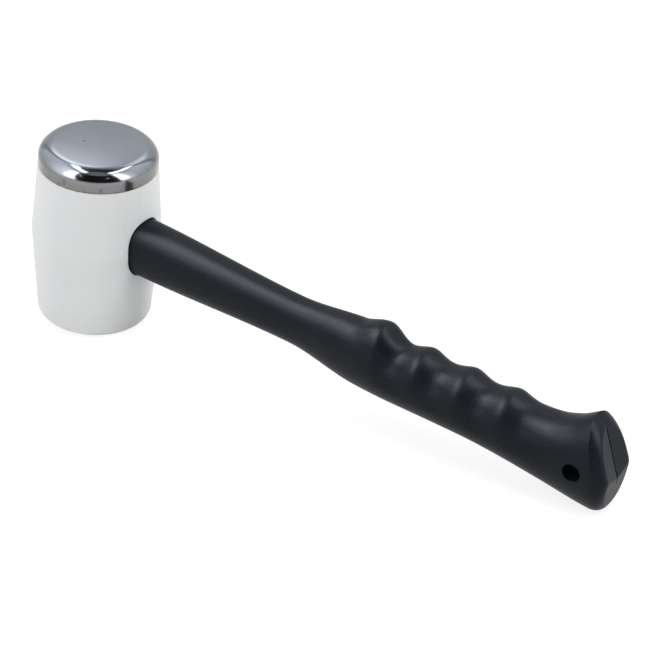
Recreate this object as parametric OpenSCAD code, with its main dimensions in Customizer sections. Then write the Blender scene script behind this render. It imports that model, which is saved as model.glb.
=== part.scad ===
// Soft face hammer: a white rubber barrel head with a steel cap on one end, on a fibreglass core
// inside a moulded grip. Millimetres. The head stands on Z, the handle runs along +X,
// and the origin is the centre of the soft striking face.

/* [Head] */
// Height from the soft face to the steel face
head_h = 89; // [86:1:100]
// Diameter of the barrel at mid height
barrel_d = 60; // [57:1:68]
// Diameter that the barrel tapers to at both ends
end_d = 53.4; // [50:0.2:56]
// Rounding of the soft face's edge
soft_edge_r = 3; // [1:0.5:6]
// Bevel on both edges of the seam under the cap
seam_bevel = 0.4; // [0.2:0.1:1]

/* [Steel cap] */
// Height of the cap above the seam
cap_h = 11; // [10:0.5:13]
// Rounding of the cap's edge
cap_edge_r = 7; // [4:0.5:8]
// How far the cap's side lies inside the rubber
cap_inset = 0.2; // [0.1:0.1:1]
// Diameter of the boss that locates the cap
boss_d = 26; // [22:1:32]
// Height of that boss
boss_h = 3; // [2:0.5:4]

/* [Stud and anchor] */
// Diameter of the stud
stud_d = 12; // [8:1:14]
// Depth of the tapped hole in the cap and its boss
tapped_h = 10; // [8:0.5:11]
// Diameter of the anchor's flange
flange_d = 36; // [34:1:42]
// Thickness of that flange
flange_h = 4; // [3:0.5:5]
// Diameter of the anchor's hub
hub_d = 22; // [18:1:26]
// Length of the hub below the flange
hub_h = 9; // [6:0.5:10]

/* [Handle core] */
// Width of the core across the handle
core_w = 11; // [8:0.5:12]
// Height of the core
core_h = 16; // [14:0.5:17]
// Distance that the core passes the head's axis
core_past = 20; // [14:1:21]
// Solid jacket between the core and the hang hole
core_stop = 12; // [8:1:30]
// Thickness of the adhesive round the core
bond_t = 1.2; // [0.5:0.1:2]

/* [Neck] */
// Height of the handle's axis above the head's mid height
handle_lift = 1.2; // [-2:0.1:3]
// Width of the neck where it enters the head
neck_w = 20.6; // [18:0.2:24]
// Height of the neck there
neck_h = 27.8; // [24:0.2:30]
// Depth of the socket that takes the neck
socket_l = 16; // [10:1:18]
// Gap round the neck in its socket
socket_gap = 0.3; // [0.1:0.1:0.6]
// Width of the neck at its waist
waist_w = 16; // [15:0.2:20]
// Height of the neck there
waist_h = 22.7; // [21:0.1:26]
// Distance from the waist to the first ridge
waist_lead = 44.5; // [36:0.5:52]

/* [Grip] */
// Distance from the head's axis to the butt
reach = 273; // [250:0.5:300]
// Distance from the first ridge to the butt
grip_l = 114.5; // [112:0.5:122]
// Width of the grip
grip_w = 24.6; // [22:0.2:28]
// Height of the ridges above the axis
crest_h = 14.7; // [13.7:0.1:18]
// Extra height of the first ridge
guard_h = 3.7; // [0:0.1:5]
// Length of the handle that this extra height takes
guard_l = 26; // [18:1:30]
// Distance from the grip's full height to the first ridge
shoulder_lead = 9; // [5:0.5:14]
// Depth of the back below the axis, at the front of the grip
heel_h = 15.6; // [14:0.2:18]
// Depth of the back below the axis, in the palm
palm_h = 14.3; // [12:0.1:16]
// Number of finger grooves
fingers = 4; // [3:1:4]
// Spacing of the finger grooves
finger_pitch = 21.1; // [19:0.1:22.5]
// Depth of the finger grooves
finger_depth = 2.2; // [0.5:0.1:3]
// Squareness of the sections, where 2 is an ellipse
squareness = 2.35; // [2:0.05:3]

/* [Butt] */
// Width of the butt
butt_w = 27; // [22:0.5:30]
// Height of the flare above the ridges
flare_h = 8.4; // [4:0.1:10]
// Depth of the butt below the axis
butt_drop = 19.4; // [17:0.1:22]
// How far the rounded edge of the butt turns in
rim_in = 4.9; // [2:0.1:6]
// Length of the handle that this edge takes
rim_l = 6; // [4:0.1:8]
// Angle of the upper end face, off square
face_angle = 24; // [15:1:28]
// Angle of the lower end face, off square
chin_angle = 2; // [0:1:10]
// Depth of the fold down the middle of the upper end face
dish = 1.2; // [0.5:0.1:3]
// Width of the slit in that fold
slit_w = 0.6; // [0.4:0.1:1]
// Depth of that slit
slit_h = 1.2; // [0.6:0.1:3]
// Diameter of the hang hole
hang_d = 8; // [6:0.5:10]
// Distance from the hang hole to the butt
hang_inset = 15; // [13:0.5:20]

/* [Hidden] */
$fn = 96;
eps = 0.01;

// Head: two cones that meet at mid height
mid_z = head_h / 2;
seam_z = head_h - cap_h;
barrel_r = barrel_d / 2;
end_r = end_d / 2;
taper = atan((barrel_r - end_r) / mid_z);
edge_run = soft_edge_r / tan((90 + taper) / 2);
seam_r = barrel_r - (seam_z - mid_z) * tan(taper);
cap_r = seam_r - cap_inset;

// Anchor, from the bottom of its hub to the top of its flange
anchor_top = seam_z - boss_h;
flange_z = anchor_top - flange_h;
hub_z = flange_z - hub_h;
tapped_top = anchor_top + tapped_h;

// Handle, measured along its axis
handle_z = mid_z + handle_lift;
mouth_x = barrel_r;
socket_x = mouth_x - socket_l;
guard_x = reach - grip_l;
waist_x = guard_x - waist_lead;
shoulder_x = guard_x - shoulder_lead;
swell_x = guard_x + finger_pitch / 2;
flare_x = guard_x + fingers * finger_pitch;
last_crest = flare_x - finger_pitch;
last_low = flare_x - finger_pitch / 2;
palm_x = (swell_x + flare_x) / 2;
hang_x = reach - hang_inset;
core_end = hang_x - hang_d / 2 - core_stop;

// Butt: past the crease its edge turns in, and the sections lean over until they lie along the end faces
crease_x = reach - rim_l;
lean_start = flare_x - finger_pitch / 3;
fold_slope = tan(face_angle);
chin_slope = tan(chin_angle);
face_half_w = butt_w / 2 - rim_in;
face_top = crest_h + flare_h - rim_in;
fold_low = -dish / (fold_slope + chin_slope);

// How sharply the flare turns up, and how sharp the ridges are, where 2 is a plain wave
flare_curve = 1.7;
ridge_curve = 1.3;
// Depth of the last groove against the others
last_share = 0.71;
// How sharply the butt's edge starts, and how far the sections lean over there
crease_share = 0.4;
crease_lean = 0.76;
// How far down from the top, in degrees, the first ridge, the grooves and the crease
// keep their full size, and where they have faded out
guard_full = 5;
guard_end = 70;
groove_full = 50;
groove_end = 95;
crease_full = 60;
crease_end = 110;

// Rings of the grip's skin and points round each ring
sides = 44;
neck_steps = 8;
shoulder_steps = 12;
finger_steps = 8;
flare_steps = 12;
rim_steps = 6;

// Share of the way from a to b, and a smooth step from 0 to 1
function share(x, a, b) = max(0, min(1, (x - a) / (b - a)));
function ease(u) = let (v = max(0, min(1, u))) v * v * (3 - 2 * v);

// Value at x on a curve that levels out at each [x, value] knot
function through(knots, x) =
    let (
        i = max([0, for (k = [0 : len(knots) - 2]) if (knots[k].x <= x) k]),
        a = knots[i],
        b = knots[i + 1]
    )
    a.y + (b.y - a.y) * ease((x - a.x) / (b.x - a.x));

// Half width of the handle, its height above the axis and its depth below it
function half_width(x) = through([
    [mouth_x, neck_w / 2], [waist_x, waist_w / 2], [swell_x, grip_w / 2],
    [flare_x, grip_w / 2], [crease_x, butt_w / 2]
], x);
function rise(x) =
    through([[mouth_x, neck_h / 2], [waist_x, waist_h / 2], [shoulder_x, crest_h]], x)
    + flare_h * pow(share(x, flare_x, crease_x), flare_curve);
function drop(x) = through([
    [mouth_x, neck_h / 2], [waist_x, waist_h / 2], [shoulder_x, heel_h],
    [palm_x, palm_h], [reach, butt_drop]
], x);

// First ridge and finger grooves, which wrap over the top and fade out on the sides.
// The far wall of the last groove is twice as long.
function fade(a, full, end) = 1 - ease((180 - abs(180 - a) - full) / (end - full));
function guard(x, a) =
    guard_h * pow(max(0, 1 - pow((x - guard_x) / (guard_l / 2), 2)), 2) * fade(a, guard_full, guard_end);
function groove(x, a) =
    x < guard_x ? 0 :
    finger_depth * fade(a, groove_full, groove_end) * (
        x < last_crest ? ridge_wave(x) :
        x < last_low ? last_share * ridge_wave(x) :
        last_share * (1 + cos(180 * share(x, last_low, flare_x + finger_pitch / 2))) / 2
    );
function ridge_wave(x) = pow(abs(sin(180 * (x - guard_x) / finger_pitch)), ridge_curve);

// Rounded edge of the butt. It starts at a crease, which fades out at mid height.
function rim(x, a) =
    let (
        t = share(x, crease_x, reach),
        sharp = crease_share * fade(a, crease_full, crease_end)
    )
    rim_in * (sharp * t + (1 - sharp) * (1 - sqrt(1 - t * t)));
function lean(x) =
    x > crease_x ? crease_lean + (1 - crease_lean) * share(x, crease_x, reach) :
    crease_lean * ease((x - lean_start) / (crease_x - lean_start));

// Plane of the end faces, along the axis from the butt
function end_face(y, z) = min(-fold_slope * z - dish * (1 - abs(y) / face_half_w), chin_slope * z);

function signed_pow(v, e) = sign(v) * pow(abs(v), e);
function oval_point(half_w, up, down, a) = [
    half_w * signed_pow(sin(a), 2 / squareness),
    (cos(a) < 0 ? down : up) * signed_pow(cos(a), 2 / squareness)
];
function skin_point(x, a) =
    let (
        p = oval_point(half_width(x), rise(x), drop(x), a),
        q = p * (1 + (guard(x, a) - groove(x, a) - rim(x, a)) / norm(p))
    )
    [x + lean(x) * end_face(q.x, q.y), q.x, q.y];

function steps(from, to, n) = [for (i = [1 : n]) from + (to - from) * i / n];
ring_x = concat(
    [socket_x + socket_gap, mouth_x],
    steps(mouth_x, waist_x, neck_steps),
    steps(waist_x, guard_x, shoulder_steps),
    steps(guard_x, flare_x, fingers * finger_steps),
    steps(flare_x, crease_x, flare_steps),
    [for (i = [1 : rim_steps]) crease_x + rim_l * sin(90 * i / rim_steps)]
);
ring_angles = [for (i = [0 : sides - 1]) 360 * i / sides];

// Extrusion along the handle, with the profile's height on Z
module along_handle(from, to) {
    translate([from, 0, handle_z])
        rotate([90, 0, 90])
            linear_extrude(to - from)
                children();
}

// Oval with straight sides and round ends
module slot_shape(w, h) {
    square([w, h - w], center = true);
    for (side = [-1, 1])
        translate([0, side * (h - w) / 2])
            circle(d = w);
}

module core_shape(grow) {
    slot_shape(core_w + 2 * grow, core_h + 2 * grow);
}

// Skin of the neck and grip as one closed surface
module grip_skin() {
    rings = len(ring_x);
    points = concat(
        [for (x = ring_x) for (a = ring_angles) skin_point(x, a)],
        [[ring_x[0], 0, 0], [reach + chin_slope * fold_low, 0, fold_low]]
    );
    front = rings * sides;
    back = front + 1;
    last = (rings - 1) * sides;
    next = [for (j = [0 : sides - 1]) (j + 1) % sides];
    walls = [
        for (i = [0 : rings - 2]) for (j = [0 : sides - 1])
            let (a = i * sides, b = a + sides)
                each [[a + j, a + next[j], b + next[j]], [a + j, b + next[j], b + j]]
    ];
    ends = [
        for (j = [0 : sides - 1])
            each [[front, next[j], j], [back, last + j, last + next[j]]]
    ];
    translate([0, 0, handle_z])
        polyhedron(points = points, faces = concat(walls, ends), convexity = 6);
}

// Anchor without its thread
module anchor_body() {
    translate([0, 0, hub_z])
        cylinder(d = hub_d, h = hub_h + flange_h);
    translate([0, 0, flange_z])
        cylinder(d = flange_d, h = flange_h);
}

module rubber_head() {
    color("whitesmoke")
        difference() {
            rotate_extrude() {
                polygon([
                    [0, 0],
                    [end_r - edge_run, 0],
                    [end_r + edge_run * sin(taper), edge_run * cos(taper)],
                    [barrel_r, mid_z],
                    [seam_r + seam_bevel * tan(taper), seam_z - seam_bevel],
                    [seam_r - seam_bevel, seam_z],
                    [0, seam_z]
                ]);
                translate([end_r - edge_run, soft_edge_r])
                    circle(soft_edge_r);
            }
            translate([0, 0, anchor_top])
                cylinder(d = boss_d + 2 * socket_gap, h = boss_h + eps);
            anchor_body();
            along_handle(-core_past - bond_t, socket_x + eps)
                core_shape(bond_t);
            along_handle(socket_x, barrel_d)
                polygon([
                    for (a = ring_angles)
                        oval_point(
                            neck_w / 2 + socket_gap, neck_h / 2 + socket_gap, neck_h / 2 + socket_gap, a
                        )
                ]);
        }
}

module steel_cap() {
    color("silver")
        difference() {
            union() {
                rotate_extrude() {
                    polygon([
                        [0, seam_z],
                        [cap_r - seam_bevel, seam_z],
                        [cap_r, seam_z + seam_bevel],
                        [cap_r, head_h - cap_edge_r],
                        [0, head_h - cap_edge_r]
                    ]);
                    translate([0, seam_z])
                        square([cap_r - cap_edge_r, cap_h]);
                    translate([cap_r - cap_edge_r, head_h - cap_edge_r])
                        intersection() {
                            circle(cap_edge_r);
                            square(cap_edge_r);
                        }
                }
                translate([0, 0, anchor_top])
                    cylinder(d = boss_d, h = boss_h + eps);
            }
            translate([0, 0, anchor_top - eps])
                cylinder(d = stud_d, h = tapped_h + eps);
        }
}

module cap_stud() {
    bevel = stud_d / 12;
    stud_r = stud_d / 2;
    low = hub_z + bevel;
    high = tapped_top - bevel;
    color("dimgray")
        rotate_extrude()
            polygon([
                [0, low], [stud_r - bevel, low], [stud_r, low + bevel],
                [stud_r, high - bevel], [stud_r - bevel, high], [0, high]
            ]);
}

module stud_anchor() {
    color("gray")
        difference() {
            anchor_body();
            translate([0, 0, hub_z - eps])
                cylinder(d = stud_d, h = hub_h + flange_h + 2 * eps);
        }
}

module handle_core() {
    color("khaki")
        along_handle(-core_past, core_end)
            core_shape(0);
}

module eye_bond() {
    color("burlywood")
        difference() {
            along_handle(-core_past - bond_t, socket_x)
                core_shape(bond_t);
            along_handle(-core_past, socket_x + eps)
                core_shape(0);
        }
}

module grip_jacket() {
    color("#24282d")
        difference() {
            grip_skin();
            along_handle(socket_x, core_end)
                core_shape(0);
            translate([hang_x, -barrel_r, handle_z])
                rotate([-90, 0, 0])
                    cylinder(d = hang_d, h = barrel_d);
            translate([reach - dish, 0, handle_z])
                rotate([0, -face_angle, 0])
                    translate([-slit_h, -slit_w / 2, -butt_drop / 3])
                        cube([2 * barrel_r, slit_w, face_top / cos(face_angle) + butt_drop / 3]);
        }
}

rubber_head();
steel_cap();
cap_stud();
stud_anchor();
handle_core();
eye_bond();
grip_jacket();
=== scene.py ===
import bmesh
import bpy
import math
from mathutils import Matrix, Vector


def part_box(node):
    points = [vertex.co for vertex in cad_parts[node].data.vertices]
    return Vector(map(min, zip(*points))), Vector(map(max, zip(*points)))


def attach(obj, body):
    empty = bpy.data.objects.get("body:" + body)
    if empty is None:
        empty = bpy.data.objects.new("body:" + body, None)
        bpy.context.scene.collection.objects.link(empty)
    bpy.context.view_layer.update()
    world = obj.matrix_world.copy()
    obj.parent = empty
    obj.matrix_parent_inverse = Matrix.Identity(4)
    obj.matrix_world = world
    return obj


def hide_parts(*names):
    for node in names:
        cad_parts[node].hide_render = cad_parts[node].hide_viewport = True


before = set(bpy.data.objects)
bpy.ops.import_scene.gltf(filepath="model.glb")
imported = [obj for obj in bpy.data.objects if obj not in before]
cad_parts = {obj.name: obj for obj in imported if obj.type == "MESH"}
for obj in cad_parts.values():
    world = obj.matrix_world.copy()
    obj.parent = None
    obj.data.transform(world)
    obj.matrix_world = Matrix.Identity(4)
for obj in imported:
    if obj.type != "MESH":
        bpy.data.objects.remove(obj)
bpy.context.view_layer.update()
mm = 0.001
print("frame loaded:", sorted(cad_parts))


# Shader sockets as Python values

class Wire:
    def __init__(self, socket):
        self.socket = socket

    def combine(self, operation, first, second):
        return addNode(self.socket.id_data, "ShaderNodeMath", {"operation": operation}, {0: first, 1: second})

    def __add__(self, other):
        return self.combine("ADD", self, other)

    def __radd__(self, other):
        return self.combine("ADD", other, self)

    def __sub__(self, other):
        return self.combine("SUBTRACT", self, other)

    def __rsub__(self, other):
        return self.combine("SUBTRACT", other, self)

    def __mul__(self, other):
        return self.combine("MULTIPLY", self, other)

    def __rmul__(self, other):
        return self.combine("MULTIPLY", other, self)

    def __truediv__(self, other):
        return self.combine("DIVIDE", self, other)

    def __rtruediv__(self, other):
        return self.combine("DIVIDE", other, self)

    def __pow__(self, other):
        return self.combine("POWER", self, other)

    def __rpow__(self, other):
        return self.combine("POWER", other, self)

    def atLeast(self, other):
        return self.combine("MAXIMUM", self, other)

    def absolute(self):
        return self.combine("ABSOLUTE", self, 0)


# Makes a node: its settings are set first, then the values or links of its sockets
def addNode(tree, kind, settings=None, sockets=None, out=0):
    node = tree.nodes.new(kind)
    for name, value in (settings or {}).items():
        if name == "stops":
            fillRamp(node.color_ramp, value)
        else:
            setattr(node, name, value)
    for name, value in (sockets or {}).items():
        if isinstance(value, Wire):
            tree.links.new(value.socket, node.inputs[name])
        else:
            node.inputs[name].default_value = value
    return Wire(node.outputs[out]) if node.outputs else None


def fillRamp(ramp, stops):
    while len(ramp.elements) < len(stops):
        ramp.elements.new(0.5)
    for element, (spot, shade) in zip(ramp.elements, stops):
        element.position = spot
        element.color = (shade, shade, shade, 1)


class Finish:
    def __init__(self, name):
        self.material = bpy.data.materials.new(name)
        self.material.use_nodes = True
        self.tree = self.material.node_tree
        self.tree.nodes.clear()

    def add(self, kind, settings=None, sockets=None, out=0):
        return addNode(self.tree, kind, settings, sockets, out)

    def place(self, scale=(1, 1, 1)):      # object coordinates, stretched along each axis
        spot = self.add("ShaderNodeTexCoord", out="Object")
        return self.add("ShaderNodeVectorMath", {"operation": "MULTIPLY"}, {0: spot, 1: scale})

    def grain(self, size, detail=2.0, scale=(1, 1, 1)):      # noise with lumps of a real size
        sockets = {"Vector": self.place(scale), "Scale": 1 / size, "Detail": detail}
        return self.add("ShaderNodeTexNoise", sockets=sockets)

    def axes(self, scale=(1, 1, 1)):      # the three coordinates as values
        spot = self.place(scale)
        return [self.add("ShaderNodeSeparateXYZ", sockets={0: spot}, out=axis) for axis in "XYZ"]

    def ramp(self, value, *stops):
        return self.add("ShaderNodeValToRGB", {"stops": stops}, {0: value})

    def mix(self, factor, first, second):      # colours
        sockets = {0: factor, 6: first, 7: second}
        return self.add("ShaderNodeMix", {"data_type": "RGBA"}, sockets, out=2)

    def near(self, spot, full, end):      # 1 close to a spot, fading out, all in millimetres
        sockets = {0: self.place((1 / mm,) * 3), 1: spot}
        gap = self.add("ShaderNodeVectorMath", {"operation": "DISTANCE"}, sockets, out="Value")
        return self.ramp((gap - full) / (end - full), (0.0, 1), (1.0, 0))

    def bump(self, height, depth):      # depth in metres for a height of 1
        return self.add("ShaderNodeBump", sockets={"Height": height, "Distance": depth, "Strength": 1.0})

    def close(self, shader):
        self.add("ShaderNodeOutputMaterial", sockets={"Surface": shader})
        return self.material

    def surface(self, **sockets):
        named = {name.replace("_", " "): value for name, value in sockets.items()}
        return self.close(self.add("ShaderNodeBsdfPrincipled", sockets=named))


# Mesh helpers

def addMesh(name, points, faces):
    mesh = bpy.data.meshes.new(name)
    mesh.from_pydata(points, [], faces)
    mesh.validate()
    made = bpy.data.objects.new(name, mesh)
    bpy.context.scene.collection.objects.link(made)
    return made


# Skin through rings of equal length; each end closes on a point or, with none, stays open
def skin(rings, start=None, end=None):
    count = len(rings[0])
    points = [point for ring in rings for point in ring]
    faces = []
    for low in range(0, len(points) - count, count):
        high = low + count
        for j in range(count):
            k = (j + 1) % count
            faces.append((low + j, low + k, high + k, high + j))
    for tip, first, turn in ((start, 0, 1), (end, (len(rings) - 1) * count, -1)):
        if tip is None:
            continue
        points.append(tip)
        for j in range(count):
            corner = (len(points) - 1, first + (j + 1) % count, first + j)
            faces.append(corner[::turn])
    return points, faces


def circle(radius, height, count):
    angles = [2 * math.pi * j / count for j in range(count)]
    return [(radius * math.cos(a), radius * math.sin(a), height) for a in angles]


# Revolves (radius, height) points that start and end on the axis
def turned(name, profile, segments=240):
    rings = [circle(radius, height, segments) for radius, height in profile[1:-1]]
    start, end = ((0, 0, profile[i][1]) for i in (0, -1))
    return addMesh(name, *skin(rings, start, end))


def arc(centreR, centreZ, radius, fromDeg, toDeg, steps):
    angles = [math.radians(fromDeg + (toDeg - fromDeg) * i / steps) for i in range(steps + 1)]
    return [(centreR + radius * math.cos(a), centreZ + radius * math.sin(a)) for a in angles]


def carve(body, cutter):      # takes the cutter away from the body and deletes it
    step = body.modifiers.new("carve", "BOOLEAN")
    step.operation = "DIFFERENCE"
    step.solver = "EXACT"
    step.object = cutter
    bpy.context.view_layer.update()
    seen = body.evaluated_get(bpy.context.evaluated_depsgraph_get())
    mesh = bpy.data.meshes.new_from_object(seen)
    weld(mesh)
    body.modifiers.clear()
    spent = body.data
    body.data = mesh
    bpy.data.meshes.remove(spent)
    bpy.data.objects.remove(cutter)


def weld(mesh, gap=0.002 * mm):      # joins the slivers that a cut can leave
    shape = bmesh.new()
    shape.from_mesh(mesh)
    bmesh.ops.remove_doubles(shape, verts=shape.verts, dist=gap)
    bmesh.ops.dissolve_degenerate(shape, edges=shape.edges, dist=gap)
    shape.to_mesh(mesh)
    shape.free()


def dress(piece, node, material, sharpDeg=40):
    for polygon in piece.data.polygons:
        polygon.use_smooth = True
    piece.data.set_sharp_from_angle(angle=math.radians(sharpDeg))
    piece.data.materials.clear()
    piece.data.materials.append(material)
    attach(piece, "root")
    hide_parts(node)
    print("made", piece.name, len(piece.data.vertices), "points")


# Camera, at the photograph's viewpoint

shot = {
    "framePixels": 650,
    "focalPixels": 1800,
    "sensorWidth": 36,      # millimetres of film, as Blender counts it
    "clip": (0.01, 20),
    "azimuth": 30.83,
    "elevation": 34.72,
    "roll": 6.72,
    "distance": 836.65 * mm,
    "target": (0, 0, 44.3 * mm),      # middle of the head
    "targetPixel": (96.85, 226.32),
}


def spin(azimuth, elevation):      # direction that an azimuth and elevation in degrees point to
    a, e = math.radians(azimuth), math.radians(elevation)
    return Vector((math.sin(a) * math.cos(e), -math.cos(a) * math.cos(e), math.sin(e)))


def addCamera():
    back = spin(shot["azimuth"], shot["elevation"])
    level = Vector((math.cos(math.radians(shot["azimuth"])), math.sin(math.radians(shot["azimuth"])), 0))
    rise = back.cross(level)
    roll = math.radians(shot["roll"])
    right = level * math.cos(roll) + rise * math.sin(roll)
    up = rise * math.cos(roll) - level * math.sin(roll)
    perPixel = shot["distance"] / shot["focalPixels"]
    across, down = ((p - shot["framePixels"] / 2) * perPixel for p in shot["targetPixel"])
    eye = Vector(shot["target"]) - right * across + up * down + back * shot["distance"]
    data = bpy.data.cameras.new("camera")
    data.sensor_width = shot["sensorWidth"]
    data.lens = shot["focalPixels"] * shot["sensorWidth"] / shot["framePixels"]
    data.clip_start, data.clip_end = shot["clip"]
    camera = bpy.data.objects.new("camera", data)
    camera.matrix_world = Matrix.Translation(eye) @ Matrix((right, up, back)).transposed().to_4x4()
    bpy.context.scene.collection.objects.link(camera)
    bpy.context.scene.camera = camera


addCamera()
print("camera set")


# Grip: neck, finger grip and butt as one moulding

_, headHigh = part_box("rubber_head")
gripLow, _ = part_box("grip_jacket")
capLow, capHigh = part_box("steel_cap")
coreLow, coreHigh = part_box("handle_core")
bondLow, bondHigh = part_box("eye_bond")

grip = {      # millimetres and degrees, along the handle from the head's axis
    "neckW": 20.6, "neckH": 27.8, "mouthX": 30,
    "waistW": 16, "waistH": 22.7, "waistLead": 44.5,
    "reach": 273, "gripL": 114.5, "gripW": 24.6,
    "crestH": 14.7, "guardH": 3.7, "guardL": 26, "shoulderLead": 9, "heelH": 15.6, "palmH": 14.3,
    "fingers": 4, "pitch": 21.1, "grooveDepth": 2.2, "ridgeCurve": 1.36, "ridgeRound": 0.12,
    "firstShare": 1.15, "lastShare": 0.82,      # depth of the first and the last groove against the others
    "guardFull": 5, "guardEnd": 66,      # degrees down from the top where the guard starts and stops fading
    "grooveFull": 58, "grooveEnd": 108,      # and where the grooves do
    "squareness": 2.35,
    "buttW": 27, "flareH": 8.4, "flareCurve": 1.7, "buttDrop": 19.4,
    "rimIn": 4.9, "rimL": 6,      # rounding of the butt's edge
    "creaseShare": 0.40, "creaseLean": 0.76, "creaseFull": 60, "creaseEnd": 110,
    "faceAngle": 24, "chinAngle": 2, "dish": 1.2, "ridgeSoft": 0.12,
    "slitW": 0.6, "slitDepth": 1.2, "hangD": 8, "hangInset": 15, "hangEdge": 0.5,
    "slitPast": 30, "hangPast": 3, "hangOpen": 0.4, "slotPast": 5,      # how far the cutters stand out
    "sides": 120, "neckRings": 40, "shoulderRings": 36, "fingerRings": 26, "flareRings": 44,
    "rimRings": 24, "faceRings": 16, "hangSides": 64, "hangRings": 6,
}
axisZ = (coreLow.z + coreHigh.z) / 2 / mm
guardX = grip["reach"] - grip["gripL"]
waistX = guardX - grip["waistLead"]
shoulderX = guardX - grip["shoulderLead"]
swellX = guardX + grip["pitch"] / 2
flareX = guardX + grip["fingers"] * grip["pitch"]
palmX = (swellX + flareX) / 2
lastCrest = flareX - grip["pitch"]
lastLow = flareX - grip["pitch"] / 2
creaseX = grip["reach"] - grip["rimL"]
leanStart = flareX - grip["pitch"] / 3
faceHalfW = grip["buttW"] / 2 - grip["rimIn"]
faceTop = grip["crestH"] + grip["flareH"] - grip["rimIn"]
faceSlope = math.tan(math.radians(grip["faceAngle"]))
chinSlope = math.tan(math.radians(grip["chinAngle"]))
foldLow = -grip["dish"] / (faceSlope + chinSlope)


def ease(u):
    v = max(0, min(1, u))
    return v * v * (3 - 2 * v)


def through(knots, x):      # curve that levels out at each (x, value) knot
    for (x0, y0), (x1, y1) in zip(knots, knots[1:]):
        if x <= x1:
            break
    return y0 + (y1 - y0) * ease((x - x0) / (x1 - x0))


def halfWidth(x):
    return through([
        (grip["mouthX"], grip["neckW"] / 2), (waistX, grip["waistW"] / 2), (swellX, grip["gripW"] / 2),
        (flareX, grip["gripW"] / 2), (creaseX, grip["buttW"] / 2),
    ], x)


def aboveAxis(x):
    body = through([
        (grip["mouthX"], grip["neckH"] / 2), (waistX, grip["waistH"] / 2), (shoulderX, grip["crestH"]),
    ], x)
    flare = max(0, min(1, (x - flareX) / (creaseX - flareX))) ** grip["flareCurve"]
    return body + grip["flareH"] * flare


def belowAxis(x):
    return through([
        (grip["mouthX"], grip["neckH"] / 2), (waistX, grip["waistH"] / 2), (shoulderX, grip["heelH"]),
        (palmX, grip["palmH"]), (grip["reach"], grip["buttDrop"]),
    ], x)


def fade(a, full, end):
    return 1 - ease((180 - abs(180 - a) - full) / (end - full))


def guard(x, a):      # first ridge, which stands out above the others
    bump = max(0, 1 - ((x - guardX) / (grip["guardL"] / 2)) ** 2) ** 2
    return grip["guardH"] * bump * fade(a, grip["guardFull"], grip["guardEnd"])


def groove(x, a):      # the first is deeper; the last is shallower, with a far wall twice as long
    if x < guardX:
        return 0
    swing = math.sin(math.pi * (x - guardX) / grip["pitch"])
    blunt = grip["ridgeRound"]
    wave = ((math.hypot(swing, blunt) - blunt) / (math.hypot(1, blunt) - blunt)) ** grip["ridgeCurve"]
    if x > lastLow:
        wave = (1 + math.cos(math.pi * min(1, (x - lastLow) / grip["pitch"]))) / 2
    share = 1
    if x > lastCrest:
        share = grip["lastShare"]
    elif x < guardX + grip["pitch"]:
        share = grip["firstShare"]
    return grip["grooveDepth"] * share * wave * fade(a, grip["grooveFull"], grip["grooveEnd"])


def rim(x, a):      # starts at a crease, which fades out at mid height
    t = max(0, min(1, (x - creaseX) / grip["rimL"]))
    sharp = grip["creaseShare"] * fade(a, grip["creaseFull"], grip["creaseEnd"])
    return grip["rimIn"] * (sharp * t + (1 - sharp) * (1 - math.sqrt(1 - t * t)))


def lean(x):
    if x > creaseX:
        return grip["creaseLean"] + (1 - grip["creaseLean"]) * (x - creaseX) / grip["rimL"]
    return grip["creaseLean"] * ease((x - leanStart) / (creaseX - leanStart))


def endFace(y, z):      # two upper faces folded along the middle, and the chin below them
    upper = -faceSlope * z - grip["dish"] * (1 - abs(y) / faceHalfW)
    chin = chinSlope * z
    soft = grip["ridgeSoft"]
    gap = (upper - chin) / 2
    return (upper + chin) / 2 - math.sqrt(gap * gap + soft * soft) + soft


def signedPower(v, e):
    return math.copysign(abs(v) ** e, v)


def oval(halfW, up, down, a):
    e = 2 / grip["squareness"]
    turn = math.radians(a)
    tall = down if math.cos(turn) < 0 else up
    return halfW * signedPower(math.sin(turn), e), tall * signedPower(math.cos(turn), e)


def skinPoint(x, a):
    y, z = oval(halfWidth(x), aboveAxis(x), belowAxis(x), a)
    grow = 1 + (guard(x, a) - groove(x, a) - rim(x, a)) / math.hypot(y, z)
    y, z = y * grow, z * grow
    return x + lean(x) * endFace(y, z), y, z


def metres(point):
    return point[0] * mm, point[1] * mm, (axisZ + point[2]) * mm


def between(low, high, count):
    return [low + (high - low) * i / count for i in range(1, count + 1)]


def ringAngles():      # against the clock, seen from the butt, so that the skin faces outwards
    return [360 * j / grip["sides"] for j in reversed(range(grip["sides"]))]


def gripRings():
    reach = grip["reach"]
    along = [gripLow.x / mm, grip["mouthX"]]
    along += between(grip["mouthX"], waistX, grip["neckRings"])
    along += between(waistX, guardX, grip["shoulderRings"])
    along += between(guardX, flareX, grip["fingerRings"] * grip["fingers"])
    along += between(flareX, creaseX, grip["flareRings"])
    along += [creaseX + grip["rimL"] * math.sin(turn) for turn in between(0, math.pi / 2, grip["rimRings"])]
    rings = [[skinPoint(x, a) for a in ringAngles()] for x in along]
    edge = rings[-1]
    for share in between(1, 0, grip["faceRings"])[:-1]:      # end faces, in rings that close on the fold
        inner = []
        for _, y, z in edge:
            y, z = y * share, foldLow + (z - foldLow) * share
            inner.append((reach + endFace(y, z), y, z))
        rings.append(inner)
    return rings


# Prism along the handle with straight sides and round ends
def slotPrism(name, width, height, fromX, toX, steps=24):
    outline = []
    for centre, first in (((height - width) / 2, 0), (-(height - width) / 2, 180)):
        outline += arc(0, centre, width / 2, first, first + 180, steps)
    rings = [[metres((x, y, z)) for y, z in outline] for x in (fromX, toX)]
    return addMesh(name, *skin(rings, metres((fromX, 0, 0)), metres((toX, 0, 0))))


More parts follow.
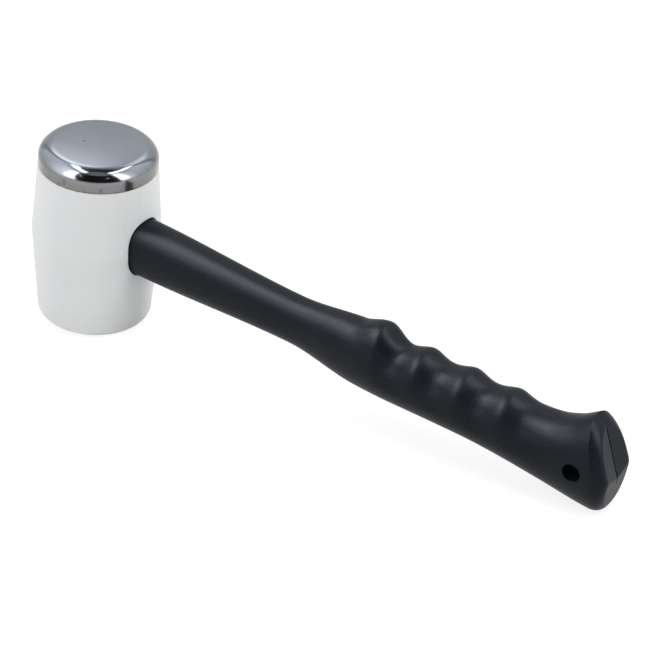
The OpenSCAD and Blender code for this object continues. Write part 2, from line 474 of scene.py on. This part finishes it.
# Drill for the hang hole, opened out at both ends to round the hole's edges
def hangDrill():
    x = grip["reach"] - grip["hangInset"]
    radius, edge = grip["hangD"] / 2, grip["hangEdge"]
    side = halfWidth(x)
    flare = [(side - edge, radius)]
    for turn in between(0, math.pi / 2, grip["hangRings"]):
        flare.append((side - edge + edge * math.sin(turn), radius + edge * (1 - math.cos(turn))))
    flare.append((side + grip["hangPast"], radius + edge + grip["hangOpen"]))
    rings = []
    for y, r in [(-y, r) for y, r in reversed(flare)] + flare:
        rings.append([metres((x + across, y, up)) for up, across, _ in circle(r, 0, grip["hangSides"])])
    last = flare[-1][0]
    return addMesh("hangDrill", *skin(rings, metres((x, -last, 0)), metres((x, last, 0))))


def slitBlade():
    half, deep, out = grip["slitW"] / 2, grip["slitDepth"], grip["slitPast"]
    low, high = -grip["buttDrop"] / 3, faceTop / math.cos(math.radians(grip["faceAngle"]))
    turn = Matrix.Rotation(-math.radians(grip["faceAngle"]), 3, "Y")
    foot = Vector((grip["reach"] - grip["dish"], 0, 0))
    rings = []
    for z in (low, high):
        corners = [(-deep, -half), (out, -half), (out, half), (-deep, half)]
        rings.append([metres(foot + turn @ Vector((x, y, z))) for x, y in corners])
    middle = [metres(foot + turn @ Vector((out / 2, 0, z))) for z in (low, high)]
    return addMesh("slitBlade", *skin(rings, *middle))


def blackMoulding():
    look = Finish("black_moulding")
    cloud = look.grain(14 * mm, detail=3)
    pores = look.grain(0.8 * mm, detail=3)
    drag = look.grain(2.2 * mm, detail=3, scale=(0.12, 1, 1))
    colour = look.mix(cloud, (0.0034, 0.0048, 0.0078, 1), (0.0052, 0.0070, 0.0104, 1))
    height = pores * 0.7 + drag * 0.3
    return look.surface(
        Base_Color=colour,
        Roughness=0.35 + 0.05 * cloud + 0.04 * drag,
        Specular_IOR_Level=0.11,
        Specular_Tint=(0.93, 0.96, 1, 1),
        Normal=look.bump(height, 0.12 * mm),
    )


def buildGrip():
    rings = [[metres(p) for p in ring] for ring in gripRings()]
    front = metres((gripLow.x / mm, 0, 0))
    end = metres((grip["reach"] + endFace(0, foldLow), 0, foldLow))
    body = addMesh("grip", *skin(rings, front, end))
    coreW, coreH = (coreHigh.y - coreLow.y) / mm, (coreHigh.z - coreLow.z) / mm
    carve(body, slotPrism("coreSlot", coreW, coreH, gripLow.x / mm - grip["slotPast"], coreHigh.x / mm))
    carve(body, hangDrill())
    carve(body, slitBlade())
    dress(body, "grip_jacket", blackMoulding())


buildGrip()


# Head: white rubber barrel of two cones, with a blind eye for the neck

head = {      # millimetres
    "endD": 53.4, "softEdge": 3, "seamBevel": 0.4, "midBlunt": 0.008,
    # the last value on the next line is how far the painted shade round the socket's mouth reaches past the
    # gap
    "socketGap": 0.3, "socketEdge": 0.5, "mouthShadeWidth": 0.45,
    "plugPast": 6, "plugOpen": 0.2, "slotPast": 0.5,      # how far the cutters stand out
    "bossD": 26.6, "bossH": 3, "flangeD": 36, "flangeH": 4, "hubD": 22, "hubH": 9,
    "faceClear": 0.4, "edgeClear": 0.4, "midClear": (0.3, 0.2), "seamClear": 0.3,      # rings from the edges
    "faceRings": 12, "edgeRings": 14, "lowerRings": 30, "upperRings": 24, "socketRings": 7,
}
barrelR = headHigh.y / mm
endR = head["endD"] / 2
seamZ = headHigh.z / mm
midZ = capHigh.z / mm / 2
taper = math.atan((barrelR - endR) / midZ)
socketX = bondHigh.x / mm


def barrelRadius(z):
    return barrelR - abs(z - midZ) * math.tan(taper)


def headProfile():
    edge, bevel = head["softEdge"], head["seamBevel"]
    run = edge / math.tan(math.pi / 4 + taper / 2)
    taperDeg = math.degrees(taper)
    seamR = barrelRadius(seamZ)
    anchorTop = seamZ - head["bossH"]
    flangeZ = anchorTop - head["flangeH"]
    hubZ = flangeZ - head["hubH"]
    points = [(0, 0)]
    points += [(r, 0) for r in between(0, endR - run - head["faceClear"], head["faceRings"])]
    points += arc(endR - run, edge, edge, -90, -taperDeg, head["edgeRings"])
    below, above = head["midClear"]
    lower = between(points[-1][1] + head["edgeClear"], midZ - below, head["lowerRings"])
    upper = between(midZ + above, seamZ - bevel - head["seamClear"], head["upperRings"])
    points += [(barrelRadius(z), z) for z in lower]
    points += [(barrelR - head["midBlunt"], midZ)]
    points += [(barrelRadius(z), z) for z in upper]
    points += [(seamR + bevel * math.tan(taper), seamZ - bevel), (seamR - bevel, seamZ)]
    points += [(head["bossD"] / 2, seamZ), (head["bossD"] / 2, anchorTop)]
    points += [(head["flangeD"] / 2, anchorTop), (head["flangeD"] / 2, flangeZ)]
    points += [(head["hubD"] / 2, flangeZ), (head["hubD"] / 2, hubZ), (0, hubZ)]
    return [(r * mm, z * mm) for r, z in points]


# Socket for the neck, opened out along the line where it meets the barrel to round that edge
def socketPlug():
    edge, gap = head["socketEdge"], head["socketGap"]

    def ringAt(grow, inward):
        ring = []
        for a in ringAngles():
            y, z = oval(grip["neckW"] / 2 + grow, grip["neckH"] / 2 + grow, grip["neckH"] / 2 + grow, a)
            wall = math.sqrt(barrelRadius(axisZ + z) ** 2 - y * y)
            ring.append(metres((wall - inward if inward is not None else socketX, y, z)))
        return ring

    rings = [ringAt(gap, None), ringAt(gap, edge)]
    for turn in between(0, math.pi / 2, head["socketRings"]):
        rings.append(ringAt(gap + edge * (1 - math.cos(turn)), edge * (1 - math.sin(turn))))
    rings.append(ringAt(gap + edge + head["plugOpen"], -head["plugPast"]))
    far = (barrelR + head["plugPast"]) * mm
    return addMesh("socketPlug", *skin(rings, metres((socketX, 0, 0)), (far, 0, axisZ * mm)))


def whiteRubber():
    look = Finish("white_rubber")
    cloud = look.grain(22 * mm, detail=3)
    handling = look.grain(5 * mm, detail=4, scale=(1, 1, 0.35))
    pores = look.grain(0.5 * mm, detail=2)
    sockets = {"Vector": look.place(), "Scale": 1 / (9 * mm)}
    spots = look.add("ShaderNodeTexVoronoi", {"feature": "F1"}, sockets)
    fleck = look.ramp(spots, (0.02, 1), (0.05, 0))
    clean = look.mix(cloud, (0.655, 0.665, 0.675, 1), (0.685, 0.692, 0.698, 1))
    handled = look.mix(look.ramp(handling, (0.62, 0), (0.80, 0.35)), clean, (0.60, 0.60, 0.59, 1))
    flecked = look.mix(fleck * 0.45, handled, (0.40, 0.39, 0.37, 1))
    x, y, z = look.axes((1 / mm,) * 3)
    # Painted shade: a near-black ring on the socket's mouth and inner wall, where the neck goes into the
    # head.
    around = head["socketGap"] + head["mouthShadeWidth"]
    across = (y / (grip["neckW"] / 2 + around)).absolute()
    upright = ((z - axisZ) / (grip["neckH"] / 2 + around)).absolute()
    ring = across ** grip["squareness"] + upright ** grip["squareness"]      # below 1 in the socket's mouth
    mouth = look.ramp(ring, (0.94, 1), (1.0, 0)) * look.ramp(x / barrelR, (0.3, 0), (0.35, 1))
    colour = look.mix(mouth, flecked, (0.012, 0.012, 0.013, 1))
    height = pores * 0.5 + handling * 0.5
    return look.surface(
        Base_Color=colour,
        Roughness=0.50 + 0.14 * cloud + 0.08 * handling,
        Specular_IOR_Level=0.30,
        Normal=look.bump(height, 0.015 * mm),
    )


def buildHead():
    body = turned("head", headProfile())
    bondW, bondH = (bondHigh.y - bondLow.y) / mm, (bondHigh.z - bondLow.z) / mm
    carve(body, slotPrism("eyeSlot", bondW, bondH, bondLow.x / mm, socketX + head["slotPast"]))
    carve(body, socketPlug())
    dress(body, "rubber_head", whiteRubber())


buildHead()


# Cap: polished steel, slightly crowned

cap = {      # millimetres
    "edgeR": 7, "crown": 0.8, "bossD": 26, "tappedD": 12, "tappedH": 10,
    "sideRings": 4, "edgeRings": 28, "topRings": 24,
    "band": (81, 87),      # heights between which the ground side turns into the polished top, which is coloured lighter and bluish as a painted reflection
    "speck": (-5.7, -3.6, 89),      # a small dark spot painted on the top
    "seamShadeH": 0.9,      # height of the painted shade along the seam with the rubber
}


def capProfile():
    top = capHigh.z / mm
    low = capLow.z / mm
    capR = capHigh.y / mm
    edge, bevel = cap["edgeR"], head["seamBevel"]
    flat = capR - edge
    tap = cap["tappedD"] / 2
    points = [(0, low + cap["tappedH"]), (tap, low + cap["tappedH"]), (tap, low)]
    points += [(cap["bossD"] / 2, low), (cap["bossD"] / 2, seamZ)]
    points += [(capR - bevel, seamZ), (capR, seamZ + bevel)]
    points += [(capR, z) for z in between(seamZ + bevel, top - edge, cap["sideRings"])]
    points += arc(flat, top - edge, edge, 0, 90, cap["edgeRings"])[1:]
    points += [(r, top) for r in between(flat, 0, cap["topRings"])]
    crowned = []
    for r, z in points:
        fall = cap["crown"] * (r / capR) ** 2 * ease((z - (top - edge)) / edge)
        crowned.append((r * mm, (z - fall) * mm))
    return crowned


def polishedSteel():
    look = Finish("polished_steel")
    cloud = look.grain(12 * mm, detail=3)
    rings = look.grain(0.45 * mm, detail=2, scale=(0.02, 0.02, 1))
    scuffs = look.grain(1.6 * mm, detail=4, scale=(1, 1, 0.4))
    blots = look.grain(2.6 * mm, detail=3, scale=(1, 1, 0.6))
    # Painted reflection: the top's colour is lighter and bluish, standing in for the bluish light the
    # polished top reflects; the side keeps a plain steel grey.
    top = look.mix(cloud, (0.225, 0.255, 0.295, 1), (0.290, 0.305, 0.342, 1))
    side = look.mix(rings, (0.190, 0.189, 0.188, 1), (0.250, 0.246, 0.242, 1))
    stained = look.mix(look.ramp(blots, (0.58, 0), (0.72, 0.55)), side, (0.085, 0.082, 0.080, 1))
    _, _, z = look.axes((1 / mm,) * 3)
    # Painted shade: the side darkens towards the seam with the rubber, its edge roughened by the scuffs.
    seam = (z - seamZ) / cap["seamShadeH"] + (scuffs - 0.5) * 1.5
    seamShaded = look.mix(look.ramp(seam, (0.0, 0.75), (1.0, 0)), stained, (0.055, 0.052, 0.050, 1))
    low, high = cap["band"]
    upper = look.ramp((z - low) / (high - low), (0.0, 0), (1.0, 1))
    darkSpot = look.near(cap["speck"], 0.35, 1.1)
    colour = look.mix(darkSpot * 0.6, look.mix(upper, seamShaded, top), (0.09, 0.10, 0.11, 1))
    height = rings * 0.7 + scuffs * 0.3
    return look.surface(
        Base_Color=colour,
        Metallic=1.0,
        Roughness=0.05 + 0.05 * cloud + 0.05 * scuffs + 0.07 * (1 - upper),
        Normal=look.bump(height, 0.002 * mm),
    )


def buildCap():
    body = turned("cap", capProfile())
    dress(body, "steel_cap", polishedSteel())


buildCap()


# Pieces inside, which keep their solids

def plainSteel():
    look = Finish("plain_steel")
    cloud = look.grain(4 * mm, detail=3)
    turning = look.grain(0.3 * mm, detail=1, scale=(0.05, 0.05, 1))
    colour = look.mix(cloud, (0.30, 0.30, 0.31, 1), (0.38, 0.38, 0.38, 1))
    return look.surface(
        Base_Color=colour, Metallic=0.9, Roughness=0.28 + 0.2 * turning, Normal=look.bump(turning, 0.02 * mm),
    )


def glassFibre():
    look = Finish("glass_fibre")
    strands = look.grain(0.5 * mm, detail=3, scale=(0.02, 1, 1))
    cloud = look.grain(8 * mm, detail=2)
    colour = look.mix(strands, (0.50, 0.44, 0.26, 1), (0.66, 0.60, 0.40, 1))
    return look.surface(
        Base_Color=colour, Roughness=0.34 + 0.2 * cloud, Normal=look.bump(strands, 0.05 * mm),
    )


def curedBond():
    look = Finish("cured_bond")
    cloud = look.grain(3 * mm, detail=3)
    bubbles = look.grain(0.8 * mm, detail=1)
    colour = look.mix(cloud, (0.40, 0.26, 0.12, 1), (0.52, 0.36, 0.19, 1))
    return look.surface(
        Base_Color=colour, Roughness=0.25 + 0.2 * bubbles, Normal=look.bump(bubbles, 0.03 * mm),
    )


steelLook = plainSteel()
inside = {
    "cap_stud": steelLook,
    "stud_anchor": steelLook,
    "handle_core": glassFibre(),
    "eye_bond": curedBond(),
}
for node, look in inside.items():
    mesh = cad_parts[node].data
    mesh.materials.clear()
    mesh.materials.append(look)
print("inner pieces finished")


# Floor: the hammer lies on the rim of the soft face and the heel of the butt

stage = {
    "tiltMost": 20, "tiltPasses": 30,      # the search for the angle at which the hammer rests
    "sides": 96,
    "floorR": 1.4, "floorInner": 0.4,
    "floorX": 0.1,      # middle of the floor
    "floorPale": 0.26,      # how strongly shadows show on the floor
    "floorGlow": 0.82,
    "floorBounce": 0.85,      # how much light the floor throws back
    "shadowEnds": (400, 800),      # millimetres from the middle, between which the floor turns plain white
    "worldFill": 0.235,
    "centre": (0, 0, 80 * mm),      # what the soft boxes and the tent stand round
    "boxR": 1.0,
    "tentR": 1.25, "tentLow": -20, "tentStep": 5,
    "tentWall": 0.95,      # glow of the tent behind its forms
    "leanLevel": 30,      # rise at which a form that leans has the turns given for it
}


def restTilt(pieces):      # angle about Y at which the head and the grip both touch the floor
    spots = {o.name: [v.co for v in o.data.vertices] for o in pieces}

    def lowest(name, angle):
        return min(p.z * math.cos(angle) - p.x * math.sin(angle) for p in spots[name])

    low, high = 0.0, math.radians(stage["tiltMost"])
    for _ in range(stage["tiltPasses"]):
        middle = (low + high) / 2
        if lowest("grip", middle) > lowest("head", middle):
            low = middle
        else:
            high = middle
    return low, lowest("head", low)


def seenRays(tree):      # 1 for rays that show the background
    ways = [addNode(tree, "ShaderNodeLightPath", out=name) for name in (
        "Is Camera Ray", "Is Glossy Ray", "Is Transmission Ray")]
    return ways[0].atLeast(ways[1]).atLeast(ways[2])


def paleFloor():
    look = Finish("pale_floor")
    white = (1, 1, 1, 1)
    pale, bounce = (look.add("ShaderNodeBsdfDiffuse", sockets={"Color": (stage[name],) * 3 + (1,)})
                    for name in ("floorPale", "floorBounce"))
    glow, far = (look.add("ShaderNodeEmission", sockets={"Color": white, "Strength": strength})
                 for strength in (stage["floorGlow"], 1))
    shaded = look.add("ShaderNodeAddShader", sockets={0: pale, 1: glow})
    middle = look.near((0, 0, 0), *stage["shadowEnds"])
    shown = look.add("ShaderNodeMixShader", sockets={0: middle, 1: far, 2: shaded})
    front = look.add("ShaderNodeMixShader", sockets={0: seenRays(look.tree), 1: bounce, 2: shown})
    clear = look.add("ShaderNodeBsdfTransparent")
    under = look.add("ShaderNodeNewGeometry", out="Backfacing")
    return look.close(look.add("ShaderNodeMixShader", sockets={0: under, 1: front, 2: clear}))


def addFloor():
    tilt, height = restTilt([bpy.data.objects["grip"], bpy.data.objects["head"]])
    rings = [circle(stage["floorR"] * share, 0, stage["sides"]) for share in (1, stage["floorInner"])]
    floor = addMesh("floor", *skin(rings, end=(0, 0, 0)))
    floor.matrix_world = Matrix.Rotation(-tilt, 4, "Y") @ Matrix.Translation((stage["floorX"], 0, height))
    floor.data.materials.append(paleFloor())
    print("floor tilted by", round(math.degrees(tilt), 2), "degrees")


def addWorld():
    world = bpy.data.worlds.new("studio")
    bpy.context.scene.world = world
    world.use_nodes = True
    tree = world.node_tree
    tree.nodes.clear()
    seen = seenRays(tree)
    strength = seen + (1 - seen) * stage["worldFill"]
    sky = addNode(tree, "ShaderNodeBackground", sockets={"Color": (1, 1, 1, 1), "Strength": strength})
    addNode(tree, "ShaderNodeOutputWorld", sockets={"Surface": sky})


# Soft boxes by azimuth and elevation, with their width, height and brightness
softBoxes = {
    "frontLeft": (-15, 29, 0.36, 0.72, 3.5),
    "frontRight": (91, 29, 0.25, 0.72, 3.9),
    "topLeft": (-68, 69, 0.74, 0.18, 3.8),
    "topRight": (115, 66, 0.70, 0.16, 6.4),
    "sideLeft": (-75, 35, 0.80, 0.70, 1.54),
    "sideRight": (150, 38, 0.80, 0.70, 1.46),
    "back": (-150, 45, 0.80, 0.50, 0.62),
}
# and those that only the grip's gloss shows, for the sheen along it
sheenBoxes = {
    "sheenFront": (-32, 38, 0.40, 0.64, 7.0),
    "sheenRight": (95, 34, 0.45, 0.80, 3.0),
    "sheenTop": (-61, 57, 0.84, 0.50, 9.5),
    "sheenTopRight": (130, 62, 0.70, 0.40, 5.0),
}


def addSoftBox(name, azimuth, elevation, width, height, glow):
    data = bpy.data.lights.new(name, "AREA")
    data.shape = "RECTANGLE"
    data.size, data.size_y = width, height
    data.energy = 4 * width * height * glow      # watts that give this brightness
    lamp = bpy.data.objects.new(name, data)
    away = spin(azimuth, elevation)
    spot = Vector(stage["centre"]) + away * stage["boxR"]
    lamp.matrix_world = Matrix.Translation(spot) @ away.to_track_quat("Z", "Y").to_matrix().to_4x4()
    lamp.visible_camera = False
    bpy.context.scene.collection.objects.link(lamp)
    return lamp


def addLamps():
    catching = bpy.data.collections.new("catchingSheen")
    catching.objects.link(bpy.data.objects["grip"])
    for name, values in softBoxes.items():
        addSoftBox(name, *values).visible_glossy = False      # the tent shows in the gloss instead
    for name, values in sheenBoxes.items():
        lamp = addSoftBox(name, *values)
        lamp.visible_diffuse = False
        lamp.light_linking.receiver_collection = catching


# Tent that only the gloss shows, in degrees of turn from the camera and of rise from the floor. Each form is
# painted over those before it: it begins, is full, stays full and has ended at the four turns and rises.
tent = {
    "upper": {"turn": (-182, -181, 181, 182), "rise": (-10, 60, 95, 96), "glow": 1.4},
    "backLeft": {"turn": (-182, -181, -143, -133), "rise": (-20, -19, 60, 72), "glow": 0.80},
    "backRight": {"turn": (131, 141, 181, 182), "rise": (-20, -19, 60, 72), "glow": 0.80},
    "shelfLeft": {"turn": (-182, -181, -146, -136), "rise": (16, 38, 52, 70), "glow": 1.02},
    "shelfRight": {"turn": (134, 144, 181, 182), "rise": (16, 38, 52, 70), "glow": 1.02},
    "zenith": {"turn": (-182, -181, 181, 182), "rise": (52, 78, 95, 96), "glow": 0.06},
    "glowLeft": {"turn": (-178, -162, -152, -138), "rise": (27, 42, 50, 62), "glow": 2.7},
    "glowRight": {"turn": (139, 154, 160, 179), "rise": (29, 43, 49, 62), "glow": 2.0},
    "edgeLeft": {"turn": (-146, -139, -136, -130), "rise": (-6, 10, 52, 62), "glow": 0.58},
    "edgeRight": {"turn": (128, 135, 138, 144), "rise": (-6, 10, 52, 62), "glow": 0.58},
    "front": {"turn": (-48, -38, 45, 56), "rise": (64, 72, 84, 88), "glow": 0.36},
    "stripLeft": {
        "turn": (-148, -138, -46, -38), "rise": (68, 70, 75.5, 77.5), "bow": (-68, 0.0020), "glow": 6,
    },
    "stripRight": {
        "turn": (54, 60, 134, 146), "rise": (68, 70, 75.5, 77.5), "bow": (65, 0.0024), "glow": 6,
    },
    "haloLeft": {
        "turn": (-112, -52, -40, -36), "rise": (-14, 20, 58, 66), "lean": (-0.15, -0.28), "glow": 2.5,
    },
    "haloRight": {"turn": (49, 53, 66, 92), "rise": (-4, 26, 62, 68), "glow": 2.2},
    "windowLeft": {"turn": (-63, -56, -40, -36), "rise": (4, 26, 57, 63), "lean": (-0.15, -0.28), "glow": 6},
    "windowRight": {"turn": (49, 53, 67, 73), "rise": (8, 28, 60, 66), "glow": 6},
    "opening": {"turn": (-38, -34, 48, 52), "rise": (-3, 11, 59, 70), "lean": (-0.28, 0), "glow": 0.02},
    "glintLeft": {"turn": (-27, -24, -22, -19), "rise": (38, 43, 51, 56), "lean": (-0.5, -0.5), "glow": 1.1},
    "glintRight": {"turn": (18, 21, 23, 27), "rise": (36, 41, 48, 53), "lean": (0.5, 0.5), "glow": 0.6},
}


def tentLook():
    look = Finish("tent")
    x, y, z = look.axes()
    turn = x.combine("ARCTAN2", x, 0 - y) * math.degrees(1)
    rise = z.combine("ARCSINE", z / stage["tentR"], 0) * math.degrees(1)

    def grow(value, low, high):
        sockets = {0: value, 1: low, 2: high, 3: 0, 4: 1}
        return look.add("ShaderNodeMapRange", {"interpolation_type": "SMOOTHSTEP"}, sockets)

    strength = stage["tentWall"]
    for form in tent.values():
        first, last = form.get("lean", (0, 0))      # how far each side leans, in turn per rise
        peak, bow = form.get("bow", (0, 0))      # where a strip is highest, and how fast it falls from there
        t0, t1, t2, t3 = form["turn"]
        r0, r1, r2, r3 = form["rise"]
        over = rise - stage["leanLevel"]
        side = grow(turn - over * first, t0, t1) * (1 - grow(turn - over * last, t2, t3))
        bowed = rise + (turn - peak) * (turn - peak) * bow
        share = side * grow(bowed, r0, r1) * (1 - grow(bowed, r2, r3))
        strength = strength + share * (form["glow"] - strength)
    return look.close(look.add("ShaderNodeEmission", sockets={"Color": (1, 1, 1, 1), "Strength": strength}))


def addTent():
    radius = stage["tentR"]
    rings = []
    for rise in range(stage["tentLow"], 90, stage["tentStep"]):
        e = math.radians(rise)
        rings.append(circle(radius * math.cos(e), radius * math.sin(e), stage["sides"]))
    body = addMesh("tent", *skin(rings, end=(0, 0, radius)))
    toCamera = Matrix.Rotation(math.radians(shot["azimuth"]), 4, "Z")
    body.matrix_world = Matrix.Translation(stage["centre"]) @ toCamera
    body.data.materials.append(tentLook())
    for way in ("camera", "diffuse", "shadow", "transmission", "volume_scatter"):
        setattr(body, "visible_" + way, False)


addFloor()
addWorld()
addLamps()
addTent()
bpy.context.scene.view_settings.view_transform = "Standard"
print("stage set")
